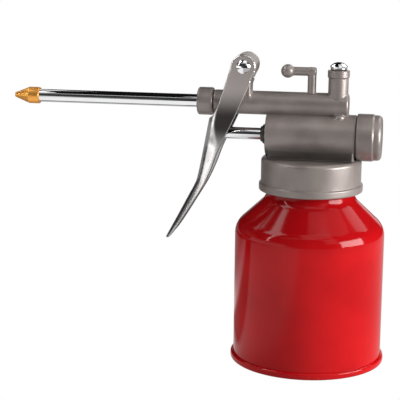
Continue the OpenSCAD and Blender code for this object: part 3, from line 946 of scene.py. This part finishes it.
def piston_nut():
    """Flanged nut that holds the cup and carries the spring."""
    foot, flange = PISTON_X[1] + 1.25, CUP_END - 0.62
    turned("piston_nut", "plain_steel", profile([
        (ROD_END_BORE, foot), (BORE_R - 1.8, foot, 0.3), (BORE_R - 1.8, flange, 0.3),
        (3.4, flange, 0.3), (3.4, NUT_END, 0.4), (ROD_END_BORE, NUT_END, 0.2)]),
        "x", (0, PUMP_Z))


def return_spring():
    start, end = SPRING_X
    wire = 0.55
    u, v, along = coil(4.6, wire, start, end, 9)
    path = np.column_stack([along, u, PUMP_Z + v])
    spring = swept("return_spring", "spring_steel", path, wire)
    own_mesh(spring)


# ---- Suction side ----

def suction_seat():
    """Brass valve seat pressed into the head, with the pickup tube's spigot."""
    foot, flange, under, top = 79.0, 86.0, CEILING_Z - 0.02, COLLAR_TOP - 0.1
    spigot, shank = PICKUP_BORE - 0.02, 2.98
    turned("suction_seat", "turned_brass", profile([
        (1.0, foot, 0.1), (spigot, foot, 0.4), (spigot, flange - 1), (shank, flange - 1, 0.1),
        (shank, flange, 0.1), (4.5, flange, 0.4), (4.5, under, 0.1), (shank, under),
        (shank, top, 0.2), (2.0, top, 0.1), (2.0, SUCTION_SEAT + 1), (1.0, SUCTION_SEAT)]),
        "z", (SUCTION_X, 0), 64)


def ball(node, x, z):
    """A hardened ball, ground all over."""
    outline = arc(0, z, BALL_R, -90, 90, 24)
    outline[0], outline[-1] = (0, z - BALL_R), (0, z + BALL_R)
    turned(node, "plain_steel", outline, "z", (x, 0), 48)


def pickup_tube():
    """Plain tube; the ring half way up keeps its shading straight."""
    low, high = PICKUP_Z
    turned("pickup_tube", "clear_nylon", profile([
        (PICKUP_R, low, 0.2), (PICKUP_R, 47.0), (PICKUP_R, high, 0.2), (PICKUP_BORE, high, 0.1),
        (PICKUP_BORE, low, 0.1)]), "z", (SUCTION_X, 0), 64)


def pickup_strainer_field(p):
    """A brass cup pushed on to the tube's foot, cross-slotted near its base."""
    cup = rod_field(p, "z", 6, 15, (SUCTION_X, 0), 3.6, 0.5)
    cup = cut(cup, rod_field(p, "z", PICKUP_Z[0], 18, (SUCTION_X, 0), PICKUP_R + 0.03, 0.05), 0.2)
    cup = cut(cup, rod_field(p, "z", 7, 11, (SUCTION_X, 0), PICKUP_BORE + 0.2, 0.05), 0.2)
    for turn in (0, 60, 120):
        a = math.radians(turn)
        u = (p[0] - SUCTION_X) * math.cos(a) + p[1] * math.sin(a)
        v = p[1] * math.cos(a) - (p[0] - SUCTION_X) * math.sin(a)
        slot = np.maximum(np.maximum(np.abs(v) - 0.4, np.abs(p[2] - 8) - 0.6), np.abs(u) - 5)
        cup = cut(cup, slot, 0.15)
    return cup


def pickup_strainer():
    moulded("pickup_strainer", "turned_brass", pickup_strainer_field,
            (SUCTION_X - 4.2, -4.2, 5.4), (SUCTION_X + 4.2, 4.2, 15.6), 0.22)


# ---- Delivery side ----

def delivery_spring():
    start, end = DELIVERY_BALL_Z + 1.05, PLUG_Z + 0.2
    wire = 0.2
    u, v, along = coil(1.45, wire, start, end, 6)
    path = np.column_stack([TOWER_X + u, v, along])
    spring = swept("delivery_spring", "spring_steel", path, wire, 10)
    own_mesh(spring)


def valve_plug():
    """Chromed dome over a screwed shank."""
    rim = TOWER_TOP + 0.7
    dome = arc(0, rim - 2.05, 5.05, 38, 90, 16)
    dome[-1] = (0, rim + 3)
    turned("valve_plug", "chrome_plate", profile([
        (0, PLUG_Z + 0.2), (PLUG_R, PLUG_Z + 0.2, 0.3), (PLUG_R, rim, 0.05), (3.7, rim, 0.25),
        (4.08, rim + 0.6, 0.3)]) + dome, "z", (TOWER_X, 0))


def plug_washer():
    turned("plug_washer", "black_rubber", profile([
        (3.5, TOWER_TOP, 0.15), (3.5, TOWER_TOP + 0.7, 0.15),
        (PLUG_R, TOWER_TOP + 0.7), (PLUG_R, TOWER_TOP)]), "z", (TOWER_X, 0))


# ---- Lever ----

def lever_field(p):
    """A pressed channel: rounded web in front, two plates behind, forked on top."""
    x, y, z = p
    front = line_through(LEVER_FRONT)(z)
    rear = line_through(LEVER_REAR)(z)
    half = line_through(LEVER_WIDTH)(z)
    depth = np.minimum(line_through(LEVER_DEPTH)(z), rear - front - 0.05)

    def skin(inset):
        """Field of the channel's solid, inset inwards by the sheet."""
        d = np.maximum(depth - inset, 0.3)
        w = half - inset
        u = np.minimum(x - front - depth, 0) / d
        v = y / w
        g = np.sqrt(u * u + v * v) + 1e-9
        steep = np.sqrt((u / d) ** 2 + (v / w) ** 2) / g
        return (g - 1) / np.maximum(steep, 1e-6)

    sheet = cut(skin(0) * LEVER_LEAN, skin(LEVER_T) * LEVER_LEAN, 0.25)
    behind = (x - rear) * LEVER_LEAN
    from_pivot = np.hypot(x - PIVOT[0], z - PIVOT[1])
    side = joined(outline_field(x, z, LEVER_OUTLINE), from_pivot - LEVER_EYE_R, 0.8)
    sheet = common(sheet, np.maximum(behind, LEVER_FOOT - z), 0.5)
    sheet = common(sheet, side, 0.5)
    return cut(sheet, from_pivot - PIN_R - 0.02, 0.2)


def lever():
    moulded("lever", "satin_chrome", lever_field,
            (-68, -LEVER_HALF - 0.8, 53.2), (-20.5, LEVER_HALF + 0.8, 141.4), 0.36)


def rivet_dome():
    """Outline of a domed rivet head, from its edge to its crown."""
    dome = arc(0, LEVER_HALF - 2.95, 4.35, 45, 90, 14)
    dome[-1] = (0, LEVER_HALF + 1.4)
    return [(3.12, LEVER_HALF + 0.02)] + dome


def pivot_rivet():
    outline = [(0, LEVER_HALF + 0.8), (1.6, LEVER_HALF + 0.8), (1.6, LEVER_HALF),
               (PIN_R, LEVER_HALF), (PIN_R, -LEVER_HALF)]
    outline += [(r, -y) for r, y in rivet_dome()]
    turned("pivot_rivet", "chrome_plate", outline, "y", PIVOT, 72)


def rivet_cap():
    outline = rivet_dome() + [(0, LEVER_HALF + 0.82), (1.61, LEVER_HALF + 0.82),
                              (1.61, LEVER_HALF + 0.02)]
    turned("rivet_cap", "chrome_plate", outline, "y", PIVOT, 72)


# ---- Cock ----

def cock_handle_field(p):
    corner = 0.85
    stem = rod_field(p, "z", COCK_FOOT, ARM_Z + ARM_R, (COCK_X, 0), COCK_R, corner)
    arm = rod_field(p, "x", KNOB_X, COCK_X + ARM_R, (0, ARM_Z), ARM_R, corner)
    knob = np.sqrt((p[0] - KNOB_X) ** 2 + p[1] ** 2 + (p[2] - ARM_Z) ** 2) - KNOB_R
    handle = joined(joined(stem, arm, 0.3), knob, 0.5)
    groove = np.maximum(COCK_R - 0.6 - np.hypot(p[0] - COCK_X, p[1]), np.abs(p[2] - GROOVE_Z) - 0.5)
    handle = cut(handle, groove, 0.1)
    return cut(handle, rod_field(p, "x", COCK_X - 4, COCK_X + 4, (0, BARREL_Z), 1.1, 0.05), 0.15)


def cock_handle():
    moulded("cock_handle", "grey_casting", cock_handle_field,
            (-15.4, -3.7, 114.3), (2.1, 3.7, 136.8), 0.25)


def cock_o_ring():
    turned("cock_o_ring", "black_rubber", arc(COCK_R - 0.27, GROOVE_Z, 0.27, 0, 337.5, 15),
           "z", (COCK_X, 0), 48)


# ---- Spout ----

def spout_nut():
    front, back = NUT_X
    socket = SPIGOT_R + 0.02
    turned("spout_nut", "grey_casting", profile([
        (SPOUT_R + RUN, front, 0.3), (NUT_R, front, 1.0), (NUT_R, back, 0.8), (socket, back, 0.1),
        (socket, SPIGOT_X - 0.8, 0.1), (SPOUT_R + RUN, SPIGOT_X - 0.8, 0.1)]),
        "x", (0, BARREL_Z))


def spout_olive():
    turned("spout_olive", "turned_brass", profile([
        (4.0, SPIGOT_X - 0.75, 0.3), (4.0, SPIGOT_X, 0.3), (SPOUT_R, SPIGOT_X),
        (SPOUT_R, SPIGOT_X - 0.75)]), "x", (0, BARREL_Z))


def spout_tube():
    """Straight tube; the rings along it keep its shading straight."""
    front, back = SPOUT_X
    outline = [(SPOUT_R, front, 0.2)]
    outline += [(SPOUT_R, x) for x in (-110.0, -90.0, -70.0)]
    outline += [(SPOUT_R, back, 0.2), (SPOUT_R - SPOUT_WALL, back, 0.1),
                (SPOUT_R - SPOUT_WALL, front, 0.1)]
    turned("spout_tube", "chrome_plate", profile(outline), "x", (0, BARREL_Z))


def nozzle():
    """Brass tip, crimped on to the tube."""
    cone, back, orifice = -131.4, -126.5, 0.6
    turned("nozzle", "turned_brass", profile([
        (orifice, TIP_X, 0.1), (1.05, TIP_X, 0.3), (NOZZLE_R, cone, 0.5), (NOZZLE_R, back, 0.35),
        (SPOUT_R, back, 0.1), (SPOUT_R, SPOUT_X[0]), (orifice, SPOUT_X[0])]),
        "x", (0, BARREL_Z))


for build in (
    can_shell, can_base, neck_ring, neck_gasket,
    pump_head, rear_cap, cap_gasket, rod_gland, gland_seal,
    piston_rod, piston, piston_cup, piston_nut, return_spring,
    suction_seat, pickup_tube, pickup_strainer, delivery_spring, valve_plug, plug_washer,
    lever, pivot_rivet, rivet_cap, cock_handle, cock_o_ring,
    spout_nut, spout_olive, spout_tube, nozzle,
):
    build()
ball("suction_ball", SUCTION_X, SUCTION_SEAT - 1 + (BALL_R + RUN) * math.sqrt(2))
ball("delivery_ball", TOWER_X, DELIVERY_BALL_Z)


# ---- Studio ----

def camera():
    azimuth, elevation, roll = math.radians(9.54), math.radians(11.98), math.radians(0.60)
    target, distance = Vector((-50.91, 0, 71.99)) * MM, 0.6462
    away = Vector((math.sin(azimuth) * math.cos(elevation),
                   -math.cos(azimuth) * math.cos(elevation), math.sin(elevation)))
    right = Vector((0, 0, 1)).cross(away).normalized()
    up = away.cross(right)
    rolled_right = right * math.cos(roll) + up * math.sin(roll)
    rolled_up = up * math.cos(roll) - right * math.sin(roll)
    data = bpy.data.cameras.new("camera")
    data.sensor_width = 36
    data.lens = 126
    data.clip_start, data.clip_end = 0.02, 20
    eye = bpy.data.objects.new("camera", data)
    turn = Matrix((rolled_right, rolled_up, away)).transposed()
    eye.matrix_world = Matrix.Translation(target + away * distance) @ turn.to_4x4()
    bpy.context.scene.collection.objects.link(eye)
    bpy.context.scene.camera = eye


def floor():
    """White ground to the camera; what the object mirrors of it is shaded in places."""
    half = 2.5
    mesh = bpy.data.meshes.new("floor")
    mesh.from_pydata([(-half, -half, 0), (half, -half, 0), (half, half, 0), (-half, half, 0)],
                     [], [(0, 1, 2, 3)])
    material, s = new_shader("white_floor")
    x, y = s.axis(0), s.axis(1)
    far = (x * x + y * y) ** 0.5
    left = x * -1.0
    dusk = (left / (far + 1.0)).band(0.35, 0.85) * left.band(180, 420) * (1 - far.band(560, 700))
    gap = y.band(-6, 8) * (1 - y.band(50, 75)) * left.band(42, 60)
    edge = far.band(450, 780) * x.band(-420, -330)
    behind = y.band(60, 140) * left.band(20, 60)
    right = x.band(-70, -20)
    shade = (dusk * 0.85 + gap * 0.8 + edge + behind * 0.7 + right * 0.50).clamped()
    seen = s.node("ShaderNodeLightPath").output("Is Camera Ray")
    colour = s.mixed(shade * (1 - seen), (1.0, 1.0, 1.0), (0.0, 0.0, 0.0))
    glow = s.node("ShaderNodeEmission", {}, {"Color": colour, "Strength": 1.0})
    s.node("ShaderNodeOutputMaterial", {}, {"Surface": glow})
    mesh.materials.append(material)
    piece = bpy.data.objects.new("floor", mesh)
    piece.location.z = -0.0002
    bpy.context.scene.collection.objects.link(piece)


def world():
    """White where the camera looks past the object, a dim room elsewhere."""
    room = bpy.data.worlds.new("studio")
    room.use_nodes = True
    s = Shader(room.node_tree)
    direction = s.node("ShaderNodeTexCoord").output("Generated")
    depth = s.node("ShaderNodeSeparateXYZ", {}, {0: direction}).output("Y")
    ahead = (depth * -1.0).band(0.5, 0.75)
    room_grey = s.mixed(ahead, (0.006, 0.006, 0.006), (0.045, 0.045, 0.046))
    room_grey = s.mixed(depth.band(0.93, 0.96), room_grey, (0.9, 0.9, 0.9))
    seen = s.node("ShaderNodeLightPath").output("Is Camera Ray")
    colour = s.mixed(seen, room_grey, (1.0, 1.0, 1.0))
    back = s.node("ShaderNodeBackground", {}, {"Color": colour, "Strength": 1.0})
    s.node("ShaderNodeOutputWorld", {}, {"Surface": back})
    bpy.context.scene.world = room


def softbox(name, azimuth, elevation, width, height, radiance):
    """A rectangular lamp aimed at the object; azimuth 0 is the front, 90 is +X."""
    middle, distance = Vector((-0.01, 0, 0.08)), 0.95
    a, e = math.radians(azimuth), math.radians(elevation)
    away = Vector((math.sin(a) * math.cos(e), -math.cos(a) * math.cos(e), math.sin(e)))
    data = bpy.data.lights.new(name, "AREA")
    data.shape = "RECTANGLE"
    data.size, data.size_y = width, height
    data.energy = radiance * math.pi * width * height
    lamp = bpy.data.objects.new(name, data)
    lamp.location = middle + away * distance
    lamp.rotation_euler = away.to_track_quat("Z", "Y").to_euler()
    lamp.visible_camera = False
    bpy.context.scene.collection.objects.link(lamp)


def lights():
    softbox("key", 74, 10, 0.66, 0.46, 16)
    softbox("overhead", 0, 48, 1.3, 0.06, 1.1)
    softbox("top_right", 24, 62, 0.62, 0.45, 1.1)
    softbox("zenith", 100, 72, 0.60, 0.70, 0.7)
    softbox("left_card", -62, 0, 1.20, 0.30, 1.0)
    softbox("top_left", -75, 52, 0.40, 0.34, 4.4)
    softbox("left_strip", -62, 28, 0.035, 0.50, 16)
    softbox("left_side", -100, 12, 0.50, 0.20, 0.2)
    softbox("right_wash", 42, 30, 0.30, 0.40, 0.9)
    softbox("back_left", -125, 46, 0.40, 0.40, 1.8)
    softbox("back_right", 138, 46, 0.50, 0.50, 2.2)


camera()
floor()
world()
lights()
bpy.context.scene.view_settings.view_transform = "Standard"
